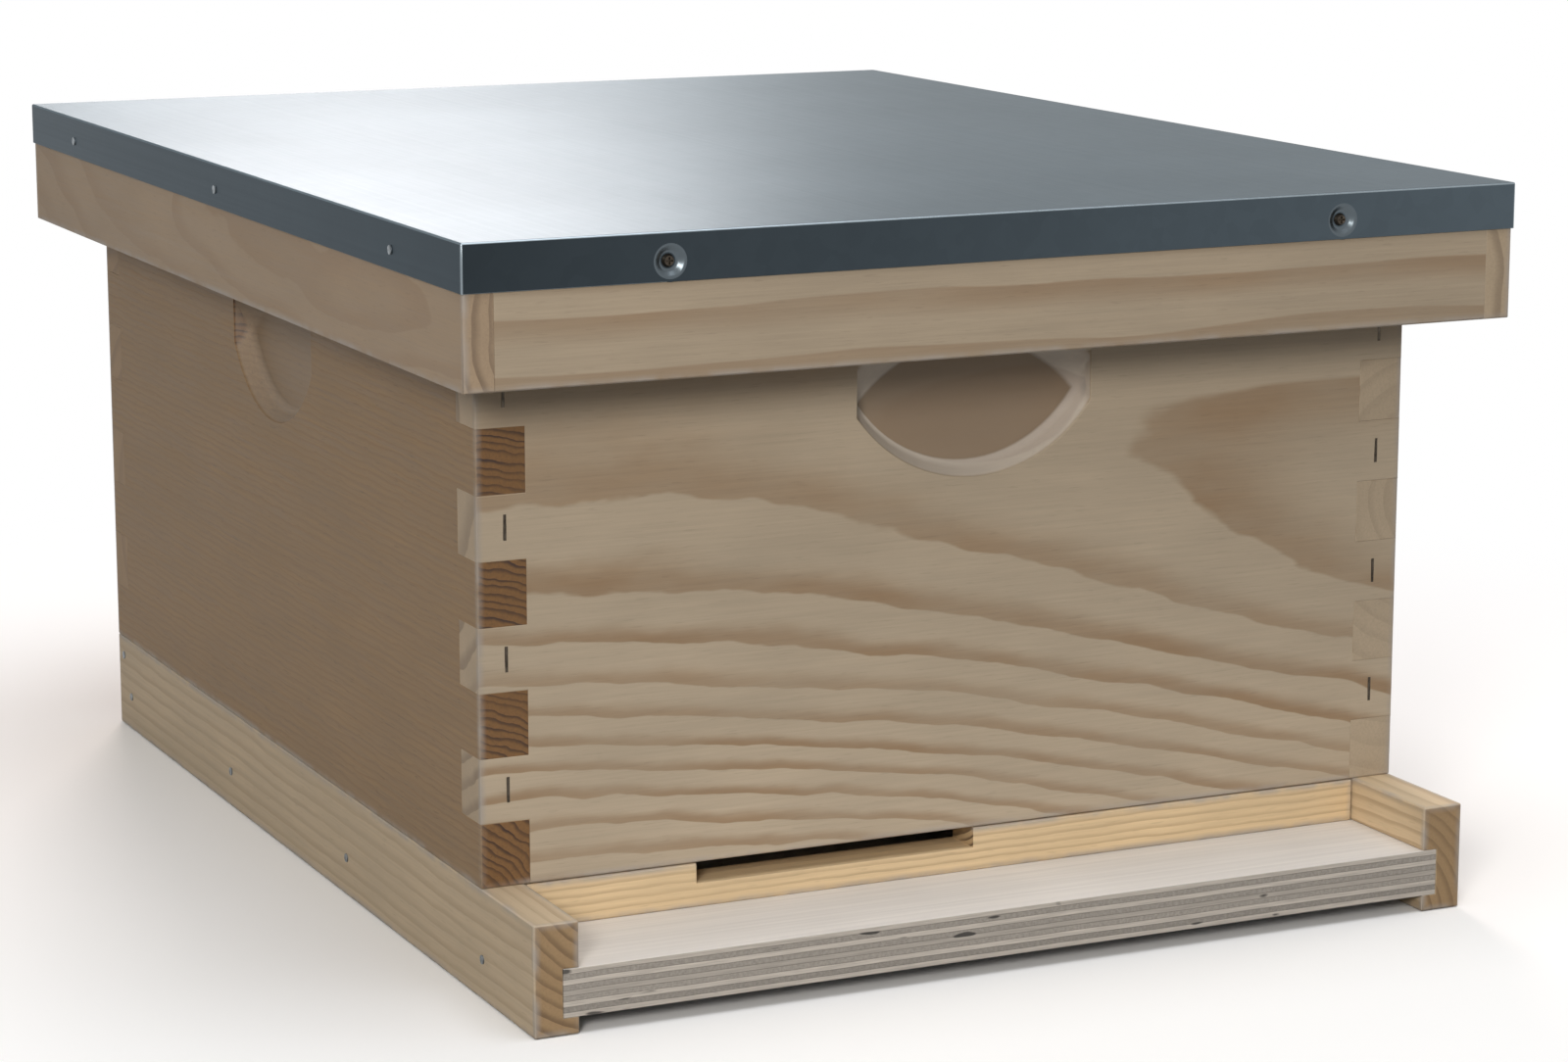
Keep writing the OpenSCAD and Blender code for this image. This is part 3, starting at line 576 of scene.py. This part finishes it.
def eased(node, width, outline=None):
    """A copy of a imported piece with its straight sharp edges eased, in place of that piece.

    With an outline, only the edges on that box's edges take the full width; the others take
    the width of a joint's arris.
    """
    scene = bpy.context.scene
    mesh = bpy.data.meshes.new(node + "_eased")
    shape = bmesh.new()
    shape.from_mesh(frame["nodes"][node].data)
    bmesh.ops.remove_doubles(shape, verts=shape.verts, dist=SAME_POINT)
    bmesh.ops.dissolve_limit(shape, angle_limit=SAME_PLANE, verts=shape.verts,
                             edges=shape.edges)
    weight = shape.edges.layers.float.new("bevel_weight_edge")
    for edge in shape.edges:
        if not edge.is_manifold or edge.calc_length() < SHORTEST:
            continue
        if edge.calc_face_angle() < SHARP or not edge.is_convex:
            continue
        on_outline = outline is None or 2 <= sum(
            all(abs(v.co[axis] - side[axis]) < ON_SIDE for v in edge.verts)
            for side in outline for axis in range(3))
        edge[weight] = 1.0 if on_outline else scene.hive_sizes.joint_arris / width
    for face in shape.faces:
        face.smooth = True
    shape.to_mesh(mesh)
    shape.free()
    mesh.set_sharp_from_angle(angle=SHARP)
    piece = bpy.data.objects.new(node + "_eased", mesh)
    scene.collection.objects.link(piece)
    bevel = piece.modifiers.new("Eased edges", "BEVEL")
    bevel.limit_method = "WEIGHT"
    bevel.width = width
    bevel.segments = 2
    level = piece.modifiers.new("Flat faces stay flat", "WEIGHTED_NORMAL")
    level.keep_sharp = True
    level.weight = 100
    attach(piece, BODY_OF[node])
    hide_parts(node)
    return piece


def dress(thing, material):
    """Give a mesh one material in place of what it came with."""
    thing.data.materials.clear()
    thing.data.materials.append(material)


def redress(node, material):
    """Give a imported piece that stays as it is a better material."""
    for held in frame["nodes"][node].material_slots:
        held.material = material


def box_round(*nodes):
    """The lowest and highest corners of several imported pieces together."""
    corners = [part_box(n) for n in nodes]
    return (tuple(min(c[0][i] for c in corners) for i in range(3)),
            tuple(max(c[1][i] for c in corners) for i in range(3)))


def finish_board(node, outline, cut=None):
    """Ease a board's edges and give it its own pine."""
    low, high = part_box(node)
    piece = eased(node, bpy.context.scene.hive_sizes.arris, outline)
    dress(piece, planed_pine("Planed pine, " + node, cut or BOARDS[node],
                             tuple((low + high) / 2), outline))


def finish_plywood(node):
    """Ease a plywood panel's edges and give it its plies."""
    low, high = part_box(node)
    piece = eased(node, bpy.context.scene.hive_sizes.joint_arris)
    dress(piece, veneered_plywood("Birch plywood, " + node, tuple((low + high) / 2),
                                  high.z - low.z))


def shared(name, make, *details):
    """The material of that name, made the first time that it is asked for."""
    return bpy.data.materials.get(name) or make(name, *details)


# ---------------------------------------------------------------- operators


class HIVE_OT_floor(bpy.types.Operator):
    """Finish the floor: its rails, its plywood board and its nails"""

    bl_idname = "hive.floor"
    bl_label = "Floor"
    bl_options = {"REGISTER", "UNDO"}

    def execute(self, context):
        for node in ("rail_left", "rail_right", "rear_rail"):
            finish_board(node, box_round(node))
        finish_plywood("floor_board")
        redress("floor_nails", shared("Galvanised wire", drawn_steel_wire,
                                      context.scene.hive_colours.wire))
        return {"FINISHED"}


class HIVE_OT_entrance_block(bpy.types.Operator):
    """Finish the loose entrance block"""

    bl_idname = "hive.entrance_block"
    bl_label = "Entrance block"
    bl_options = {"REGISTER", "UNDO"}

    def execute(self, context):
        finish_board("entrance_block", box_round("entrance_block"))
        return {"FINISHED"}


class HIVE_OT_brood_box(bpy.types.Operator):
    """Finish the brood box: its four panels, their staples and the frame rests"""

    bl_idname = "hive.brood_box"
    bl_label = "Brood box"
    bl_options = {"REGISTER", "UNDO"}

    def execute(self, context):
        panels = ("front_panel", "rear_panel", "left_panel", "right_panel")
        for node in panels:
            finish_board(node, box_round(*panels))
        colours = context.scene.hive_colours
        redress("corner_staples", shared("Bare steel wire", drawn_steel_wire, colours.staple))
        redress("rest_nails", shared("Galvanised wire", drawn_steel_wire, colours.wire))
        for node in ("rest_front", "rest_rear"):
            redress(node, shared("Galvanised sheet", galvanised_sheet, colours.zinc,
                                 FLAT_GLARE))
        return {"FINISHED"}


class HIVE_OT_frames(bpy.types.Operator):
    """Finish the hanging frames and their wax foundation"""

    bl_idname = "hive.frames"
    bl_label = "Frames"
    bl_options = {"REGISTER", "UNDO"}

    def execute(self, context):
        for number, body in enumerate(FRAMES):
            bar, sides, comb = (body + end for end in ("_top_bar", "_bars", "_foundation"))
            finish_board(bar, box_round(bar), TOP_BARS[number % len(TOP_BARS)])
            finish_board(sides, box_round(sides), SIDE_BARS[number % len(SIDE_BARS)])
            redress(comb, shared("Embossed beeswax", embossed_wax))
        return {"FINISHED"}


class HIVE_OT_inner_cover(bpy.types.Operator):
    """Finish the inner cover: its rim and its panel"""

    bl_idname = "hive.inner_cover"
    bl_label = "Inner cover"
    bl_options = {"REGISTER", "UNDO"}

    def execute(self, context):
        rims = ["inner_rim_" + side for side in ("front", "rear", "left", "right")]
        for node in rims:
            finish_board(node, box_round(*rims))
        finish_plywood("inner_panel")
        return {"FINISHED"}


class HIVE_OT_lid(bpy.types.Operator):
    """Finish the lid: its rim, its board, the folded metal cover and its screws and nails"""

    bl_idname = "hive.lid"
    bl_label = "Lid"
    bl_options = {"REGISTER", "UNDO"}

    def execute(self, context):
        colours = context.scene.hive_colours
        rims = ["lid_rim_" + side for side in ("front", "rear", "left", "right")]
        for node in rims:
            finish_board(node, box_round(*rims))
        finish_plywood("lid_board")
        # The flange's lower edge is left out of the outline: it is cut, not folded.
        low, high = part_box("metal_cover")
        sheet = eased("metal_cover", context.scene.hive_sizes.fold, ((low.x, low.y, 0.0), high))
        sheet.modifiers["Eased edges"].material = ROLLED
        dress(sheet, shared("Galvanised sheet", galvanised_sheet, colours.zinc, FLAT_GLARE))
        # The flange takes a darker copy of the zinc, a painted dark reflection that darkens
        # towards its left end; the screw dishes take another, as painted shade.
        sheet.data.materials.append(galvanised_sheet("Galvanised sheet, folded down",
                                                     colours.zinc_fold_shade, FOLD_GLARE,
                                                     left_shading=0.5))
        sheet.data.materials.append(galvanised_sheet("Galvanised sheet, pressed in",
                                                     colours.zinc_dish_shade, FOLD_GLARE))
        # Faces tilted off the axes are the dishes' walls and take the darker zinc: painted shade.
        for face in sheet.data.polygons:
            if max(abs(side) for side in face.normal) < 0.95:
                face.material_index = PRESSED
            elif abs(face.normal.z) < 0.9:
                face.material_index = FOLDED
        redress("cover_screws", shared("Bare steel wire", drawn_steel_wire, colours.staple))
        redress("cover_nails", shared("Galvanised wire", drawn_steel_wire, colours.wire))
        return {"FINISHED"}


# ---------------------------------------------------------------- stage


class Lamp(NamedTuple):
    """A round softbox that faces the hive. Lengths are in metres and its power is in watts."""

    name: str
    place: tuple
    size: float
    power: float
    colour: str


LAMPS = (Lamp("front_softbox", (-1.35, -2.0, 1.0), 0.6, 28.0, "#fffaf4"),
         Lamp("overhead_softbox", (0.1, -0.5, 2.4), 1.9, 34.0, "#fbfcff"),
         Lamp("right_softbox", (2.3, 0.2, 0.65), 0.6, 6.0, "#ffffff"),
         Lamp("rear_softbox", (0.62, 2.3, 1.2), 0.9, 27.0, "#ffebe3"))
CAMERA_PLACE = (-0.7795, -1.7395, 0.5093)
CAMERA_AIM = (0.0335, -0.0087, 0.1269)
CAMERA_LENS, CAMERA_SENSOR = 94.5, 36.0      # mm
CARD_HALF_WIDTH = 12.0                       # m
CARD_NEAR, CARD_FAR = 0.36, 0.8              # m; between them the card runs out to white
CARD_SEEN, CARD_UNSEEN = "#fcfcfb", "#525252"
AIR_SEEN, AIR_UNSEEN = 1.0, 0.28


def seen_directly(tree):
    """1 for the rays that show the background itself, 0 for those that only carry its light."""
    rays = add(tree, "LightPath", out=None)
    seen = add(tree, "Math", (rays["Is Camera Ray"], rays["Is Glossy Ray"]), operation="ADD")
    return add(tree, "Math", (seen, rays["Is Transmission Ray"]), operation="ADD",
               use_clamp=True)


def matt_floor(name):
    """Matt white card: it takes the hive's soft shadow, and runs out to plain white."""
    material, t = new_material(name)
    spot = add(t, "TexCoord", out="Object")
    away = add(t, "VectorMath", (spot,), out="Value", operation="LENGTH")
    far = add(t, "MapRange", (away, CARD_NEAR, CARD_FAR, 0.0, 1.0),
              interpolation_type="SMOOTHSTEP")
    seen = seen_directly(t)
    blend = add(t, "Math", (far, seen), operation="MULTIPLY")
    shown = add(t, "Mix", {0: seen, MIX_A: (*linear(CARD_UNSEEN), 1.0),
                           MIX_B: (*linear(CARD_SEEN), 1.0)}, out=MIXED, data_type="RGBA")
    card = add(t, "BsdfPrincipled", {"Base Color": shown, "Roughness": 0.9, "IOR": 1.45})
    plain = add(t, "Emission", {"Color": (1.0, 1.0, 1.0, 1.0), "Strength": 1.0})
    add(t, "OutputMaterial", (add(t, "MixShader", (blend, card, plain)),), out=None)
    return material


class HIVE_OT_stage(bpy.types.Operator):
    """Set the floor, the lamps, the world and the camera round the hive"""

    bl_idname = "hive.stage"
    bl_label = "Stage"
    bl_options = {"REGISTER", "UNDO"}

    def execute(self, context):
        scene = context.scene
        low, high = CAD_BOX
        shape = bmesh.new()
        bmesh.ops.create_grid(shape, x_segments=1, y_segments=1, size=CARD_HALF_WIDTH)
        mesh = bpy.data.meshes.new("stage_floor")
        shape.to_mesh(mesh)
        shape.free()
        floor = bpy.data.objects.new("stage_floor", mesh)
        floor.location.z = low.z - 0.2 * MM
        dress(floor, matt_floor("Matt white card"))
        scene.collection.objects.link(floor)

        middle = (low + high) / 2
        for name, place, size, power, colour in LAMPS:
            lamp = bpy.data.lights.new(name, "AREA")
            lamp.shape = "DISK"
            lamp.size = size
            lamp.energy = power
            lamp.color = linear(colour)
            holder = bpy.data.objects.new(name, lamp)
            holder.location = place
            holder.rotation_euler = (middle - Vector(place)).to_track_quat("-Z", "Y").to_euler()
            holder.visible_camera = False
            scene.collection.objects.link(holder)

        world = bpy.data.worlds.new("Studio")
        world.use_nodes = True
        t = world.node_tree
        t.nodes.clear()
        strength = add(t, "MapRange", (seen_directly(t), 0.0, 1.0, AIR_UNSEEN, AIR_SEEN))
        air = add(t, "Background", {"Color": (1.0, 1.0, 1.0, 1.0), "Strength": strength})
        add(t, "OutputWorld", (air,), out=None)
        scene.world = world
        scene.view_settings.view_transform = "Standard"

        camera = bpy.data.objects.new("camera", bpy.data.cameras.new("camera"))
        camera.data.sensor_width = CAMERA_SENSOR
        camera.data.lens = CAMERA_LENS
        camera.location = CAMERA_PLACE
        aim = Vector(CAMERA_AIM) - camera.location
        camera.rotation_euler = aim.to_track_quat("-Z", "Y").to_euler()
        scene.collection.objects.link(camera)
        scene.camera = camera
        return {"FINISHED"}


class HIVE_PT_panel(bpy.types.Panel):
    """Sidebar panel that lists the hive's steps in order"""

    bl_label = "Langstroth Hive"
    bl_space_type = "VIEW_3D"
    bl_region_type = "UI"
    bl_category = "Hive"

    def draw(self, context):
        for group in (context.scene.hive_sizes, context.scene.hive_colours):
            column = self.layout.column(align=True)
            for name in group.bl_rna.properties.keys():
                if name not in ("rna_type", "name"):
                    column.prop(group, name)
        column = self.layout.column(align=True)
        for step in STEPS:
            column.operator(step.bl_idname)


STEPS = (HIVE_OT_floor, HIVE_OT_entrance_block, HIVE_OT_brood_box, HIVE_OT_frames,
         HIVE_OT_inner_cover, HIVE_OT_lid, HIVE_OT_stage)
CLASSES = (HiveSizes, HiveColours, *STEPS, HIVE_PT_panel)


def register():
    for cls in CLASSES:
        bpy.utils.register_class(cls)
    bpy.types.Scene.hive_sizes = PointerProperty(type=HiveSizes)
    bpy.types.Scene.hive_colours = PointerProperty(type=HiveColours)


def unregister():
    del bpy.types.Scene.hive_colours
    del bpy.types.Scene.hive_sizes
    for cls in reversed(CLASSES):
        bpy.utils.unregister_class(cls)


def main():
    """Register the hive's classes and finish the whole hive, one step after another."""
    register()
    for step in STEPS:
        group, name = step.bl_idname.split(".")
        getattr(getattr(bpy.ops, group), name)()


if __name__ == "__main__":
    main()
